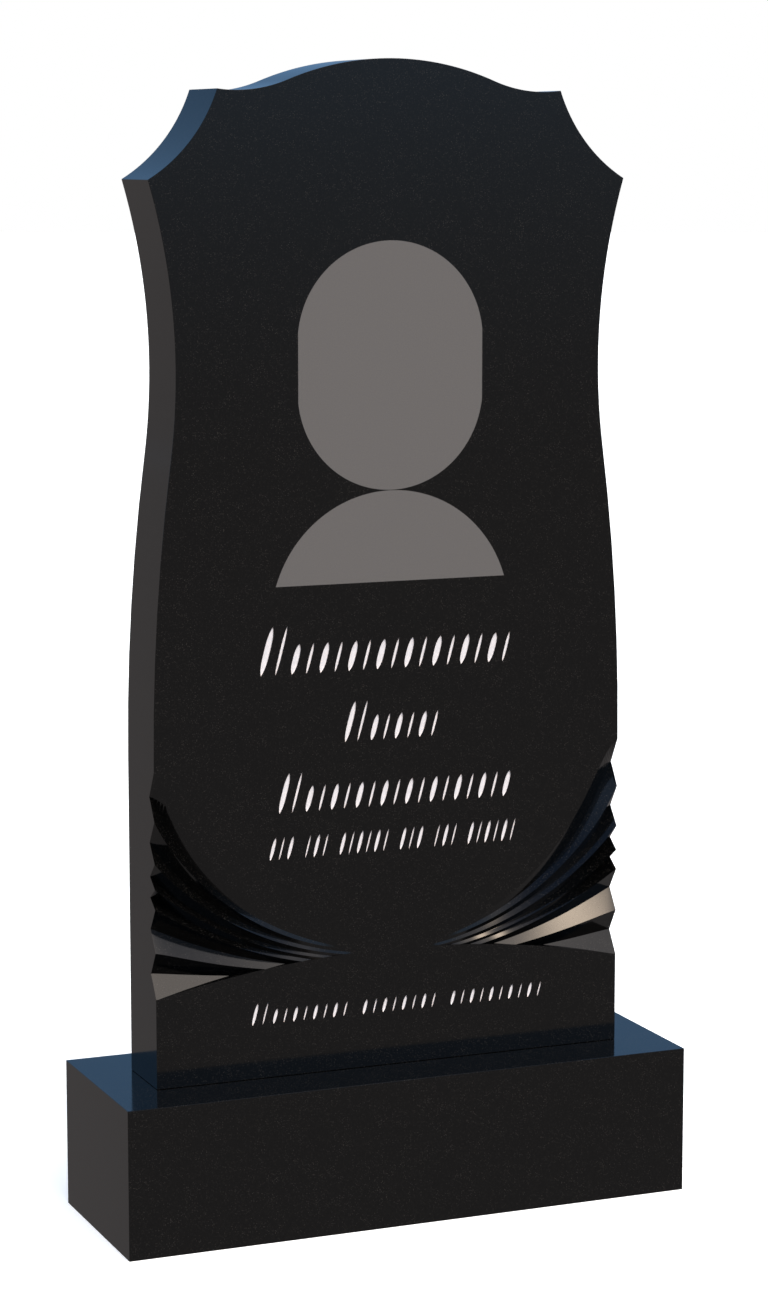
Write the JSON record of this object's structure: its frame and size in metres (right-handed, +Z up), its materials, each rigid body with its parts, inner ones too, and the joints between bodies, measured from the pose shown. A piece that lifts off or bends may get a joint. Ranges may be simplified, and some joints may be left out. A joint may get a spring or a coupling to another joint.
{
  "type": "headstone",
  "caption": "Upright polished black granite grave marker: shaped slab with scooped shoulders and pleated fans carved at both sides, standing on a plain block plinth.",
  "frame": {"origin": "middle of the plinth's underside", "axes": "+Z up, -Y out of the inscribed front face, +X to the right as seen by someone facing the inscription"},
  "size_m": [0.6, 0.2, 1.1503],
  "materials": {
    "stele_granite": "polished",
    "plinth_granite": "polished"
  },
  "bodies": {
    "root": {"stele": "stele_granite", "plinth": "plinth_granite"}
  },
  "joints": []
}
